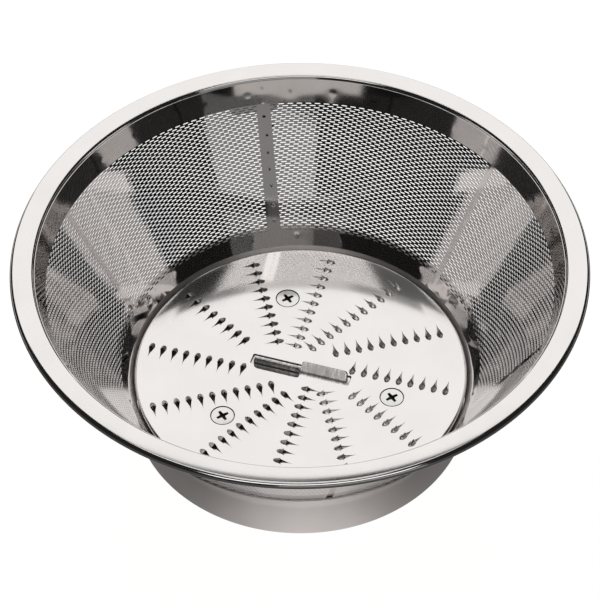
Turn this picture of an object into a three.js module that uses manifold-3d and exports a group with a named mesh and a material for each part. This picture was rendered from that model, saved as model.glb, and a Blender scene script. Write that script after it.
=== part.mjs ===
// Spinning filter basket of a juice extractor: a conical basket of perforated foil between a rolled
// rim and a drawn base, with a grater disc and a centre blade screwed to the drive hub underneath.
// Millimetres, +Z up. The origin is the middle of the base's bottom edge, on the axis of rotation.

import * as THREE from 'three';
import { mergeVertices } from 'three/addons/utils/BufferGeometryUtils.js';
import Module from 'manifold-3d';

const wasm = await Module();
wasm.setup();

// ---- driving dimensions --------------------------------------------------------------------------

// Overall
const rimRadius = 93;
const overallHeight = 70;
const baseRadius = 56;

// Sheet thicknesses
const foilSheet = 0.2;
const rimSheet = 0.8;
const cupSheet = 0.8;
const floorSheet = 1;
const discSheet = 1;
const tabSheet = 0.4;

// Clearances
const layerGap = 0.15; // between two sheets that are welded together
const seatGap = 0.3; // between pieces that sit on or in one another

// Filter foil: a long cone, then a steeper margin that is welded into the rim
const foilFootRise = 0.4; // how far the foil's foot stands above the disc's face
const foilFootStep = 0.65; // how far the foil's foot stands outside the base wall
const foilTopDrop = 1; // below the top of the rim
const marginHeight = 7.6; // height of the steeper margin
const marginLean = 3; // how far that margin leans out

// Rim
const hemRadius = 1.4;
const hemCurl = 240; // degrees that the hem is rolled through
const bandWidth = 4.8; // flat part of the rim, between the hem and the foil's top edge
const rimFillet = 0.9;
const skirtLap = 5.5; // how far the rim's skirt laps over the foil's upper margin

// Base cup
const lipHeight = 5.9; // how far the cup's lip climbs round the foil
const shoulderFillet = 4;

// Floor plate
const floorEdge = 4.5; // height of its turned-down edge
const floorEdgeRound = 1.5;

// Doubler welded behind the top of the foil's seam
const tabAzimuth = 99.3; // degrees from +X
const tabWidth = 19.6;
const tabLength = 4.8;
const tabTaper = 0.77; // lower edge over upper edge

// Grater disc
const discTop = 17;
const discInset = 0.6; // inside the base wall's outside
const discEdgeRound = 0.9;
const slotLength = 34.3;
const slotWidth = 4.6;
const slotAzimuth = -19.35;

// Grater teeth: twelve straight rows that pass beside the axis. Each row starts one twelfth of a
// pitch nearer the axis than the row before it, so the teeth lie on a spiral.
const toothRows = 12;
const toothPitch = 4;
const toothFirst = 9.7;
const toothLimit = 52.6;
const toothOffset = 4.3; // how far a row passes beside the axis
const toothFirstAzimuth = 71.7;
const toothWidth = 2.1;
const toothHeight = 1.3;
const toothMouth = 0.6; // from the middle of a tooth to its open, cutting side
const toothBack = 1.5; // from the middle of a tooth to its closed end
const toothLean = 0.4; // how far the point leans towards the mouth
const toothRoot = 0.3; // how far a tooth's foot is sunk into the disc
const teethLeftOut = [0, 0, 1, 2, 3, 1, 0, 1, 1, 3, 4, 2]; // near the axis, to clear slot and screws

// Centre blade
const bladeEndGap = 1.3; // from the wings to the ends of the slot
const bladeSideGap = 0.55; // from the wings' backs to the sides of the slot
const bladeRise = 2.5; // of the cutting edges above the disc
const bladeLand = 0.25; // flat along the top of each ground edge
const bladeFoot = 0.4; // thickness of the foot
const bladeWing = 2.35; // depth of a wing, from its upright face to its back
const bladeFaceRise = 0.3; // of that face above the disc, where the ground slope starts
const bladeWaist = 0.5; // gap between the two wings

// Screws, spring washers and nuts
const screwCount = 3;
const screwCircle = 32.5;
const screwAzimuth = 96;
const screwRadius = 1.9;
const screwHeadRadius = 3.7;
const screwHeadDepth = 2.1;
const screwHeadEdge = 0.25; // upright edge above the countersink's cone
const screwEndBeyondNut = 1;
const recessReach = 2;
const recessWidth = 0.9;
const recessDepth = 1.2;
const recessTurn = 30; // degrees
const washerRadius = 3.6;
const washerThickness = 0.9;
const washerSplit = 12; // degrees
const nutAcrossFlats = 7;
const nutThickness = 3.2;

// Drive hub and bush
const hubRadius = 40;
const hubFlange = 3;
const hubBossRadius = 15;
const hubFootHeight = 2; // of the boss's lower end above the base's bottom edge
const hubSocketDepth = 10;
const hubRibs = 6;
const hubRibWidth = 2.4;
const hubRibRise = 0.5; // of a rib's lower edge above the rim's
const hubRibLap = 1; // how far a rib runs into the boss and the rim
const hubRimWidth = 2.5;
const hubRimHeight = 5;
const bushRadius = 8;
const bushAcrossFlats = 11;

// Roundness
const largeSegments = 60;
const smallSegments = 24;
const filletSteps = 4;
const hemSteps = 9;
const hemInsideSteps = 6;

// How far a cutting shape passes the face that it goes through
const cutBeyond = 1;

// ---- sizes worked out from them ------------------------------------------------------------------

const wallFoot = { radius: baseRadius + foilFootStep, height: discTop + foilFootRise };
const wallTop = {
  radius: rimRadius - hemRadius - bandWidth - 2 * rimFillet,
  height: overallHeight - foilTopDrop,
};
const wallBreak = {
  radius: wallTop.radius - marginLean,
  height: wallTop.height - marginHeight,
};
const wallSlope = (wallBreak.radius - wallFoot.radius) / (wallBreak.height - wallFoot.height);
const marginSlope = marginLean / marginHeight;
const radialPerThickness = Math.hypot(1, wallSlope);

const discRadius = baseRadius - discInset;
const discBottom = discTop - discSheet;
const floorTop = discBottom - seatGap;
const hubTop = floorTop - floorSheet - seatGap;
const hubFlangeBottom = hubTop - hubFlange;
const washerTop = hubFlangeBottom - seatGap;
const nutTop = washerTop - washerThickness - seatGap;
const screwEnd = nutTop - nutThickness - screwEndBeyondNut;

const skirtBottom = wallTop.height - skirtLap;
const outerFace = foilSheet + layerGap; // depth of what is welded round the foil

// Radius of the wall at a height, for a face that lies depth outside the foil's inner face.
function wallRadius(height, depth) {
  const above = height > wallBreak.height;
  const start = above ? wallBreak : wallFoot;
  const slope = above ? marginSlope : wallSlope;
  return start.radius + slope * (height - start.height) + depth * radialPerThickness;
}

// A stretch of the wall, bottom to top, with a corner where the wall gets steeper.
function wallLine(bottom, top, depth) {
  const passesBreak = bottom < wallBreak.height && top > wallBreak.height;
  const heights = passesBreak ? [bottom, wallBreak.height, top] : [bottom, top];
  return heights.map((height) => [wallRadius(height, depth), height]);
}

// ---- helpers -------------------------------------------------------------------------------------

const radians = THREE.MathUtils.degToRad;

// Points on an arc about a centre, in the plane of a profile.
function arc(centre, radius, fromDegrees, toDegrees, steps = filletSteps) {
  const points = [];
  for (let i = 0; i <= steps; i += 1) {
    const angle = radians(fromDegrees + ((toDegrees - fromDegrees) * i) / steps);
    points.push([centre[0] + radius * Math.cos(angle), centre[1] + radius * Math.sin(angle)]);
  }
  return points;
}

// Turns a closed profile of [radius, height] points about +Z. Its points run anticlockwise.
function turned(profile, segments = largeSegments) {
  const outline = profile.map(([radius, height]) => new THREE.Vector2(radius, height));
  const startsOnAxis = profile[0][0] === 0;
  const geometry = new THREE.LatheGeometry(startsOnAxis ? outline : [...outline, outline[0]], segments);
  return geometry.rotateX(Math.PI / 2);
}

// Extrudes an outline upwards from a height.
function extruded(shape, height, bottom = 0, curveSegments = smallSegments) {
  const geometry = new THREE.ExtrudeGeometry(shape, { depth: height, bevelEnabled: false, curveSegments });
  return geometry.translate(0, 0, bottom);
}

function polygon(sides, radius) {
  const corners = Array.from({ length: sides }, (_, i) => {
    const angle = (2 * Math.PI * i) / sides;
    return new THREE.Vector2(radius * Math.cos(angle), radius * Math.sin(angle));
  });
  return new THREE.Shape(corners);
}

function cylinder(radius, bottom, top, segments = smallSegments) {
  const geometry = new THREE.CylinderGeometry(radius, radius, top - bottom, segments);
  return geometry.rotateX(Math.PI / 2).translate(0, 0, (top + bottom) / 2);
}

function at(geometry, radius, azimuth) {
  const angle = radians(azimuth);
  return geometry.translate(radius * Math.cos(angle), radius * Math.sin(angle), 0);
}

function toSolid(geometry) {
  const bare = geometry.clone();
  bare.deleteAttribute('normal');
  bare.deleteAttribute('uv');
  const merged = mergeVertices(bare);
  return new wasm.Manifold(new wasm.Mesh({
    numProp: 3,
    vertProperties: new Float32Array(merged.attributes.position.array),
    triVerts: new Uint32Array(merged.index.array),
  }));
}

function toGeometry(solid) {
  const mesh = solid.getMesh();
  const geometry = new THREE.BufferGeometry();
  geometry.setAttribute('position', new THREE.BufferAttribute(mesh.vertProperties, 3));
  geometry.setIndex(new THREE.BufferAttribute(mesh.triVerts, 1));
  geometry.computeVertexNormals();
  return geometry;
}

const united = (geometries) => wasm.Manifold.union(geometries.map(toSolid));
const cut = (solid, geometries) => toGeometry(solid.subtract(united(geometries)));

const screwAzimuths = Array.from({ length: screwCount }, (_, i) => screwAzimuth + (360 / screwCount) * i);

// ---- materials -----------------------------------------------------------------------------------

function metal(colour, roughness) {
  return new THREE.MeshStandardMaterial({ color: colour, roughness, metalness: 1 });
}

const polishedSteel = metal(0xe9e6e4, 0.12);
const satinSteel = metal(0xb4afab, 0.4);
const etchedSteel = metal(0xc9c5c2, 0.25);
const groundSteel = metal(0xc4c1be, 0.35);
const platedSteel = metal(0xbdbdbb, 0.3);
const castAluminium = metal(0xa9a9a8, 0.55);

// ---- rim -----------------------------------------------------------------------------------------

// A flat band with a hem rolled down and under at its outside, and a skirt at its inside that the
// foil's upper margin is welded into.
function rimRing() {
  const hemCentre = [rimRadius - hemRadius, overallHeight - hemRadius];
  const innerHem = hemRadius - rimSheet;
  const bandUnderside = overallHeight - rimSheet;
  const skirtTop = overallHeight - 2 * rimFillet;
  const lean = Math.atan(marginSlope) * THREE.MathUtils.RAD2DEG;
  const inset = rimFillet * Math.tan(radians((90 - lean) / 2));
  const corner = wallRadius(overallHeight, outerFace);
  const filletCentre = [corner + inset, overallHeight - rimFillet];
  return turned([
    ...arc(hemCentre, hemRadius, 90 - hemCurl, 90, hemSteps),
    ...arc(filletCentre, rimFillet, 90, 180 - lean),
    ...wallLine(skirtBottom, skirtTop, outerFace).reverse(),
    ...wallLine(skirtBottom, bandUnderside, outerFace + rimSheet),
    ...arc(hemCentre, innerHem, 90, 90 - hemCurl, hemInsideSteps),
  ]);
}

// ---- foil ----------------------------------------------------------------------------------------

function filterFoil() {
  return turned([
    ...wallLine(wallFoot.height, wallTop.height, foilSheet),
    ...wallLine(wallFoot.height, wallTop.height, 0).reverse(),
  ]);
}

// The doubler behind the top of the foil's seam: a flat tapered plate bent round the cone.
function seamTab() {
  const columns = 8;
  const rows = 4;
  const top = skirtBottom - seatGap;
  const bottom = top - tabLength / radialPerThickness;
  const geometry = new THREE.BoxGeometry(1, 1, 1, columns, rows, 1);
  const position = geometry.attributes.position;
  for (let i = 0; i < position.count; i += 1) {
    const across = position.getX(i);
    const up = position.getY(i) + 0.5;
    const out = position.getZ(i) + 0.5;
    const height = bottom + (top - bottom) * up;
    const width = tabWidth * (tabTaper + (1 - tabTaper) * up);
    const radius = wallRadius(height, outerFace + tabSheet * out);
    const angle = radians(tabAzimuth) + (across * width) / wallRadius(height, outerFace);
    position.setXYZ(i, radius * Math.cos(angle), radius * Math.sin(angle), height);
  }
  return geometry;
}

// ---- base ----------------------------------------------------------------------------------------

// A drawn ring: a straight wall that carries the basket, a shoulder, and a lip round the foil's foot.
function baseCup() {
  const lipOutside = outerFace + cupSheet;
  const lipTop = wallFoot.height + lipHeight;
  const shoulder = wallFoot.height - (wallRadius(wallFoot.height, lipOutside) - baseRadius) / wallSlope;
  const lean = Math.atan(wallSlope) * THREE.MathUtils.RAD2DEG;
  const reach = shoulderFillet * Math.tan(radians(lean / 2));
  const outerCentre = [baseRadius + shoulderFillet, shoulder - reach];
  return turned([
    [baseRadius - cupSheet, 0],
    [baseRadius, 0],
    ...arc(outerCentre, shoulderFillet, 180, 180 - lean),
    [wallRadius(lipTop, lipOutside), lipTop],
    [wallRadius(lipTop, outerFace), lipTop],
    ...arc(outerCentre, shoulderFillet + cupSheet, 180 - lean, 180),
  ]);
}

// The plate that closes the base under the disc, with a turned-down edge that is welded to the wall.
function floorPlate() {
  const bottom = floorTop - floorSheet;
  const edgeBottom = floorTop - floorEdge;
  const cupInside = Math.max(baseRadius - cupSheet, wallRadius(edgeBottom, outerFace));
  const radius = cupInside - seatGap;
  const edgeCentre = [radius - floorEdgeRound, floorTop - floorEdgeRound];
  const body = toSolid(turned([
    [0, bottom],
    [radius - floorEdgeRound, bottom],
    ...arc(edgeCentre, floorEdgeRound - floorSheet, 90, 0).slice(1),
    [radius - floorSheet, edgeBottom],
    [radius, edgeBottom],
    ...arc(edgeCentre, floorEdgeRound, 0, 90),
    [0, floorTop],
  ]));
  return cut(body, screwSeats(bottom));
}

// ---- grater disc ---------------------------------------------------------------------------------

// One tooth: a raised point with its mouth towards +Y and its foot sunk into the disc.
function tooth() {
  const half = toothWidth / 2;
  const corners = [
    [-half, toothMouth, -toothRoot],
    [half, toothMouth, -toothRoot],
    [0, -toothBack, -toothRoot],
    [0, toothLean, toothHeight],
  ];
  const faces = [[0, 1, 2], [0, 3, 1], [1, 3, 2], [2, 3, 0]];
  const geometry = new THREE.BufferGeometry();
  geometry.setAttribute('position', new THREE.Float32BufferAttribute(corners.flat(), 3));
  geometry.setIndex(faces.flat());
  return geometry;
}

function teeth() {
  const places = [];
  for (let row = 0; row < toothRows; row += 1) {
    const azimuth = toothFirstAzimuth - (360 / toothRows) * row;
    const start = toothFirst - (toothPitch / toothRows) * row + toothPitch * teethLeftOut[row];
    for (let along = start; along <= toothLimit; along += toothPitch) {
      places.push({ azimuth, along });
    }
  }
  return places.map(({ azimuth, along }) => (
    tooth().translate(along, toothOffset, discTop).rotateZ(radians(azimuth))
  ));
}

function graterDisc() {
  const edgeCentre = [discRadius - discEdgeRound, discTop - discEdgeRound];
  const body = turned([
    [0, discBottom],
    [discRadius, discBottom],
    ...arc(edgeCentre, discEdgeRound, 0, 90),
    [0, discTop],
  ]);
  const slot = new THREE.BoxGeometry(slotLength, slotWidth, 2 * (discSheet + cutBeyond));
  slot.translate(0, 0, discTop).rotateZ(radians(slotAzimuth));
  return cut(united([body, ...teeth()]), [slot, ...screwSeats(discBottom)]);
}

// ---- centre blade --------------------------------------------------------------------------------

// A foot that fills the slot, and two wings that stand on it. The second wing is the first one
// turned half round the axis, so the cutting edges face opposite ways.
function centreBlade() {
  const length = slotLength - 2 * bladeEndGap;
  const half = slotWidth / 2 - bladeSideGap;
  const face = half - bladeWing;
  const footBottom = floorTop + seatGap;
  const tip = discTop + bladeRise;
  const foot = new THREE.BoxGeometry(slotLength - 2 * seatGap, slotWidth - 2 * seatGap, bladeFoot);
  foot.translate(0, 0, footBottom + bladeFoot / 2);
  const section = new THREE.Shape([
    new THREE.Vector2(face, footBottom),
    new THREE.Vector2(half, footBottom),
    new THREE.Vector2(half, tip),
    new THREE.Vector2(half - bladeLand, tip),
    new THREE.Vector2(face, discTop + bladeFaceRise),
  ]);
  const wingLength = (length - bladeWaist) / 2;
  const wing = extruded(section, wingLength);
  // The section is drawn in X and Y and pulled along Z; it has to stand along +X.
  wing.applyMatrix4(new THREE.Matrix4().makeBasis(
    new THREE.Vector3(0, 1, 0),
    new THREE.Vector3(0, 0, 1),
    new THREE.Vector3(1, 0, 0),
  )).translate(bladeWaist / 2, 0, 0);
  const other = wing.clone().rotateZ(Math.PI);
  const blade = toGeometry(united([foot, wing, other]));
  return blade.rotateZ(radians(slotAzimuth));
}

// ---- screws, washers and nuts --------------------------------------------------------------------

// The shape of a countersunk head, grown by a gap, up to a height.
function countersink(gap, top) {
  const bottom = discTop - screwHeadDepth - gap;
  return turned([
    [0, bottom],
    [screwRadius + gap, bottom],
    [screwHeadRadius + gap, discTop - screwHeadEdge],
    [screwHeadRadius + gap, top],
    [0, top],
  ], smallSegments);
}

// The holes for the screws: a seat for the head and a clearance hole for the shank below it.
function screwSeats(bottom) {
  return screwAzimuths.flatMap((azimuth) => [
    at(countersink(seatGap, discTop + cutBeyond), screwCircle, azimuth),
    at(cylinder(screwRadius + seatGap, bottom - cutBeyond, discTop), screwCircle, azimuth),
  ]);
}

function countersunkScrew() {
  const shank = cylinder(screwRadius, screwEnd, discTop - screwHeadDepth / 2);
  const recess = [0, Math.PI / 2].map((turn) => {
    const bar = new THREE.BoxGeometry(2 * recessReach, recessWidth, 2 * recessDepth);
    return bar.translate(0, 0, discTop).rotateZ(turn + radians(recessTurn));
  });
  return cut(united([shank, countersink(0, discTop)]), recess);
}

function springWasher() {
  const inner = screwRadius + seatGap;
  const shape = new THREE.Shape();
  const from = radians(washerSplit / 2);
  shape.absarc(0, 0, washerRadius, from, 2 * Math.PI - from, false);
  shape.absarc(0, 0, inner, 2 * Math.PI - from, from, true);
  return extruded(shape, washerThickness, washerTop - washerThickness, smallSegments / 2);
}

function hexNut() {
  const shape = polygon(6, nutAcrossFlats / Math.sqrt(3));
  shape.holes.push(polygon(smallSegments, screwRadius + seatGap));
  return extruded(shape, nutThickness, nutTop - nutThickness);
}

// ---- drive hub -----------------------------------------------------------------------------------

// A cast flange under the floor plate, stiffened by a rim and ribs, with a boss that holds the bush.
function driveHub() {
  const bossTop = hubTop - hubFlange / 2;
  const rimBottom = hubFlangeBottom - hubRimHeight;
  const rim = turned([
    [hubRadius - hubRimWidth, rimBottom],
    [hubRadius, rimBottom],
    [hubRadius, bossTop],
    [hubRadius - hubRimWidth, bossTop],
  ]);
  const ribStart = hubBossRadius - hubRibLap;
  const ribEnd = hubRadius - hubRimWidth + hubRibLap;
  const ribBottom = rimBottom + hubRibRise;
  const ribs = Array.from({ length: hubRibs }, (_, i) => {
    const rib = new THREE.BoxGeometry(ribEnd - ribStart, hubRibWidth, bossTop - ribBottom);
    rib.translate((ribStart + ribEnd) / 2, 0, (bossTop + ribBottom) / 2);
    const azimuth = screwAzimuth + 360 / hubRibs / 2 + (360 / hubRibs) * i;
    return rib.rotateZ(radians(azimuth));
  });
  const body = united([
    cylinder(hubRadius, hubFlangeBottom, hubTop, largeSegments),
    cylinder(hubBossRadius, hubFootHeight, bossTop, largeSegments / 2),
    rim,
    ...ribs,
  ]);
  const socket = cylinder(bushRadius + seatGap, hubFootHeight - cutBeyond, hubFootHeight + hubSocketDepth);
  const hole = cylinder(screwRadius + seatGap, hubFlangeBottom - cutBeyond, hubTop + cutBeyond);
  const holes = screwAzimuths.map((azimuth) => at(hole.clone(), screwCircle, azimuth));
  return cut(body, [socket, ...holes]);
}

// The bush that the machine's drive coupling enters, with a six-sided bore.
function driveBush() {
  const shape = polygon(smallSegments, bushRadius);
  shape.holes.push(polygon(6, bushAcrossFlats / Math.sqrt(3)));
  return extruded(shape, hubSocketDepth - seatGap, hubFootHeight);
}

// ---- assembly ------------------------------------------------------------------------------------

const group = new THREE.Group();

function add(name, geometry, material) {
  const mesh = new THREE.Mesh(geometry, material);
  mesh.name = name;
  group.add(mesh);
  return mesh;
}

add('rim_ring', rimRing(), polishedSteel);
add('filter_foil', filterFoil(), etchedSteel);
add('seam_tab', seamTab(), etchedSteel);
add('base_cup', baseCup(), satinSteel);
add('floor_plate', floorPlate(), satinSteel);
add('grater_disc', graterDisc(), polishedSteel);
add('centre_blade', centreBlade(), groundSteel);
add('drive_hub', driveHub(), castAluminium);
add('drive_bush', driveBush(), platedSteel);

screwAzimuths.forEach((azimuth, i) => {
  const number = i + 1;
  const angle = radians(azimuth);
  const place = [screwCircle * Math.cos(angle), screwCircle * Math.sin(angle), 0];
  add(`disc_screw_${number}`, countersunkScrew(), platedSteel).position.set(...place);
  add(`spring_washer_${number}`, springWasher(), platedSteel).position.set(...place);
  add(`hex_nut_${number}`, hexNut(), platedSteel).position.set(...place);
});

export default group;
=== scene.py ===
# %% [markdown]
# # A juicer's filter basket
# This lesson gives a spinning filter basket its looks. The CAD model of it is already packed, and it
# is loaded here as a fixed frame. Every size and place below is read from it or is a named value in
# millimetres. The basket is nearly all stainless steel, and polished steel has no look of its own: it
# shows its surroundings. So the work goes into true shapes, thin sheet with real slots and pierced
# teeth, and into a studio that is worth reflecting.

# %% Load the frame
import math

import bpy
import numpy as np
from mathutils import Matrix, Vector
from mathutils.geometry import delaunay_2d_cdt


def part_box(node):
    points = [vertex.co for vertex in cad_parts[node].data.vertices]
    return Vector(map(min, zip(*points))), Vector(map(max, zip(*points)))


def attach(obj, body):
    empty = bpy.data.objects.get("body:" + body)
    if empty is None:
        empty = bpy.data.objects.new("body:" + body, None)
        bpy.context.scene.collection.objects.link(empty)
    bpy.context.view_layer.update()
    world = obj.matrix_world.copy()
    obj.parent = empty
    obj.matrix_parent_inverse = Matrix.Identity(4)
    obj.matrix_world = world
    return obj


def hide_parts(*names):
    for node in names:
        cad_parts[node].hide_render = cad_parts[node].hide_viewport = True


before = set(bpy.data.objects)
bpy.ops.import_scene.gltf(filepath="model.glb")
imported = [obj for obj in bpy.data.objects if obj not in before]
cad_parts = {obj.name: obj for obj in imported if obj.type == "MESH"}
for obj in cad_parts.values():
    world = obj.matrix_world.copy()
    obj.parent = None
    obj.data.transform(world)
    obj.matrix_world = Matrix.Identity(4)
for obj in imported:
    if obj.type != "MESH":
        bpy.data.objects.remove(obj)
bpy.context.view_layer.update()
mm = 0.001

# %% [markdown]
# A turned sheet-metal part is known by the corners of its section. This reads them back from a CAD
# node as (radius, height) pairs, lowest first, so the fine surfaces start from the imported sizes.


# %% Read sizes from the frame
def corners_of(node):
    """The distinct (radius, height) pairs of a turned node, in millimetres, lowest first."""
    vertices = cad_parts[node].data.vertices
    pairs = {(round(v.co.xy.length / mm, 2), round(v.co.z / mm, 2)) for v in vertices}
    return sorted(pairs, key=lambda pair: (pair[1], pair[0]))


def top_of(node):
    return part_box(node)[1].z / mm


def bottom_of(node):
    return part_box(node)[0].z / mm


foil = corners_of("filter_foil")  # inner and outer face at its foot, at its bend and at its top
foot, wall_break, wall_top = foil[0], foil[2], foil[4]
wall_lean = math.atan2(wall_break[0] - foot[0], wall_break[1] - foot[1])
skirt_lean = math.atan2(wall_top[0] - wall_break[0], wall_top[1] - wall_break[1])
sheet = (foil[1][0] - foil[0][0]) * math.cos(wall_lean)
rim_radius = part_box("rim_ring")[1].x / mm
disc_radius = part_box("grater_disc")[1].x / mm
disc_bottom = bottom_of("grater_disc")
print("foil", foil, "sheet", round(sheet, 2), "lean", round(math.degrees(wall_lean), 2))

# %% [markdown]
# ## Making meshes
# Sheet metal comes in three kinds here. Turned parts are a closed section swept round the axis.
# Plates are an outline with holes, cut into triangles and given a thickness. Bent patches are two
# grids of points, one for each face of the sheet, stitched along their borders. Each kind has one
# helper below, and each helper returns plain vertices and faces, so shells can be joined into a piece.


# %% A section with rounded corners
def rounded(corners, steps=6):
    """A closed section with each (x, y, fillet radius) corner replaced by an arc."""
    points = []
    for i, (x, y, radius) in enumerate(corners):
        here = Vector((x, y))
        before = (Vector(corners[i - 1][:2]) - here).normalized()
        after = (Vector(corners[(i + 1) % len(corners)][:2]) - here).normalized()
        half = before.angle(after) / 2
        if radius == 0 or half > math.pi / 2 - 0.02:
            points.append((x, y))
            continue
        centre = here + (before + after).normalized() * (radius / math.sin(half))
        arm = here + before * (radius / math.tan(half)) - centre
        sweep = math.copysign(math.pi - 2 * half, -before.cross(after))
        for k in range(steps + 1):
            c, s = math.cos(sweep * k / steps), math.sin(sweep * k / steps)
            points.append((centre.x + c * arm.x - s * arm.y, centre.y + s * arm.x + c * arm.y))
    return points


def arc(centre, radius, start, end, steps):
    """Points on an arc of a section, from one angle to another, in degrees."""
    angles = np.radians(np.linspace(start, end, steps + 1))
    return [(centre[0] + radius * math.cos(a), centre[1] + radius * math.sin(a)) for a in angles]


# %% Turned parts
def compact(vertices, faces):
    """Drops vertices that no face uses."""
    used = np.unique([k for face in faces for k in face])
    place = np.zeros(len(vertices), int)
    place[used] = np.arange(len(used))
    return vertices[used], [[int(place[k]) for k in face] for face in faces]


def turned(section, segments=240):
    """Sweeps a closed section of (radius, height) points about the axis. Points run anticlockwise."""
    angles = np.linspace(0, 2 * math.pi, segments, endpoint=False)
    section = np.array(section, float)
    radius, height = section[:, 0], section[:, 1]
    x, y = np.outer(np.cos(angles), radius), np.outer(np.sin(angles), radius)
    rings = np.stack([x, y, np.tile(height, (segments, 1))], 2)
    index = np.arange(segments * len(section)).reshape(segments, len(section))
    index[:, radius == 0] = index[0, radius == 0]
    ahead, above = np.roll(index, -1, 0), np.roll(index, -1, 1)
    quads = np.stack([index, ahead, np.roll(ahead, -1, 1), above], 2).reshape(-1, 4)
    faces = [list(dict.fromkeys(quad)) for quad in quads.tolist()]
    return compact(rings.reshape(-1, 3), [face for face in faces if len(face) > 2])


# %% Plates with holes
def triangulated(outline, holes):
    """Cuts the region between an outline and its holes into triangles. Returns points and triangles."""
    points, loops = [], []
    for loop in [outline, *holes]:
        loops.append(list(range(len(points), len(points) + len(loop))))
        points.extend(Vector(p) for p in loop)
    found = delaunay_2d_cdt(points, [], loops, 1, 1e-7)
    triangles = [face for face, inside in zip(found[2], found[5]) if inside == [0]]
    return np.array([tuple(p) for p in found[0]]), np.array(triangles)


def thick(points, triangles, upper, lower):
    """Closes a flat region into a plate: upper and lower say where each of its points goes."""
    count = len(points)
    edges = np.concatenate([triangles[:, [0, 1]], triangles[:, [1, 2]], triangles[:, [2, 0]]])
    known = {tuple(edge) for edge in edges}
    border = [(a, b) for a, b in known if (b, a) not in known]
    walls = [(b, a, a + count, b + count) for a, b in border]
    vertices = np.concatenate([upper(points), lower(points)])
    return vertices, triangles.tolist() + (triangles[:, ::-1] + count).tolist() + walls


def at_height(height):
    """Puts flat points at a height."""
    return lambda points: np.column_stack([points, np.full(len(points), height)])


def circle(radius, count, centre=(0, 0)):
    angles = np.linspace(0, 2 * math.pi, count, endpoint=False)
    return [(centre[0] + radius * math.cos(a), centre[1] + radius * math.sin(a)) for a in angles]


# %% Bent patches
def patch(outer, inner, ring=False):
    """Stitches two grids of points (rows, columns, 3) into one closed sheet. A ring joins its ends."""
    rows, columns = outer.shape[:2]
    index = np.arange(rows * columns).reshape(rows, columns)
    if ring:
        index = np.concatenate([index, index[:, :1]], 1)
    back = index + rows * columns
    quads = [np.stack([index[:-1, :-1], index[:-1, 1:], index[1:, 1:], index[1:, :-1]], 2)]
    quads.append(np.stack([back[:-1, :-1], back[1:, :-1], back[1:, 1:], back[:-1, 1:]], 2))
    borders = [(index[0], back[0], False), (index[-1], back[-1], True)]
    if not ring:
        borders += [(index[:, 0], back[:, 0], True), (index[:, -1], back[:, -1], False)]
    for front, behind, flip in borders:
        wall = np.stack([front[:-1], behind[:-1], behind[1:], front[1:]], 1)
        quads.append(wall[:, ::-1] if flip else wall)
    faces = np.concatenate([q.reshape(-1, 4) for q in quads]).tolist()
    return np.concatenate([outer.reshape(-1, 3), inner.reshape(-1, 3)]), faces


def volume(vertices, faces):
    """The volume inside closed faces. It is negative if they face inwards."""
    corners = [(f[0], f[k], f[k + 1]) for f in faces for k in range(1, len(f) - 1)]
    a, b, c = (vertices[index] for index in np.array(corners).T)
    return float((a * np.cross(b, c)).sum() / 6)


def joined(shells):
    """Several closed shells as one list of vertices and faces, all facing outwards."""
    vertices, faces, start = [], [], 0
    for points, polygons in shells:
        step = 1 if volume(points, polygons) > 0 else -1
        vertices.append(points)
        faces.extend([[k + start for k in polygon[::step]] for polygon in polygons])
        start += len(points)
    return np.concatenate(vertices), faces


# %% Add a piece
def piece(name, shell, finish, replaces=(), crease=35, marks=None):
    """Makes a named piece that rides on the basket, wears a finish and stands for CAD nodes."""
    vertices, faces = shell
    mesh = bpy.data.meshes.new(name)
    mesh.from_pydata((vertices * mm).tolist(), [], faces)
    mesh.update()
    made = bpy.data.objects.new(name, mesh)
    bpy.context.scene.collection.objects.link(made)
    mesh.materials.append(finish)
    mesh.shade_smooth()
    mesh.set_sharp_from_angle(angle=math.radians(crease))
    if marks is not None:
        mesh.attributes.new("marks", "FLOAT", "POINT").data.foreach_set("value", marks.astype(np.float32))
    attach(made, "root")
    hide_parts(*replaces)
    print(f"{name}: {len(vertices)} vertices, {len(faces)} faces")
    return made


# %% [markdown]
# ## Finishes
# A finish is a small node tree. The class below wraps a socket, so that shader maths reads as
# arithmetic, and a Tree adds every other node through one method.


# %% Shader arithmetic
class Signal:
    """A socket that carries a number. Python's operators on it add Math nodes."""

    def __init__(self, tree, socket):
        self.tree, self.socket = tree, socket

    def maths(self, operation, *values):
        sockets = dict(enumerate(values))
        return self.tree.node("ShaderNodeMath", {"operation": operation}, sockets)

    def __add__(self, other):
        return self.maths("ADD", self, other)

    def __sub__(self, other):
        return self.maths("SUBTRACT", self, other)

    def __rsub__(self, other):
        return self.maths("SUBTRACT", other, self)

    def __mul__(self, other):
        return self.maths("MULTIPLY", self, other)

    def __truediv__(self, other):
        return self.maths("DIVIDE", self, other)

    def __pow__(self, other):
        return self.maths("POWER", self, other)

    __radd__ = __add__
    __rmul__ = __mul__


class Tree:
    """The node tree of a material or a world."""

    def __init__(self, owner):
        owner.use_nodes = True
        self.nodes, self.links = owner.node_tree.nodes, owner.node_tree.links
        self.nodes.clear()

    def node(self, kind, settings=None, sockets=None, output=0):
        """Adds a node: its settings first, then its sockets' values or links. Returns one output."""
        made = self.nodes.new(kind)
        for name, value in (settings or {}).items():
            setattr(made, name, value)
        for name, value in (sockets or {}).items():
            if isinstance(value, Signal):
                self.links.new(value.socket, made.inputs[name])
            else:
                made.inputs[name].default_value = value
        return Signal(self, made.outputs[output]) if made.outputs else None
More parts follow.
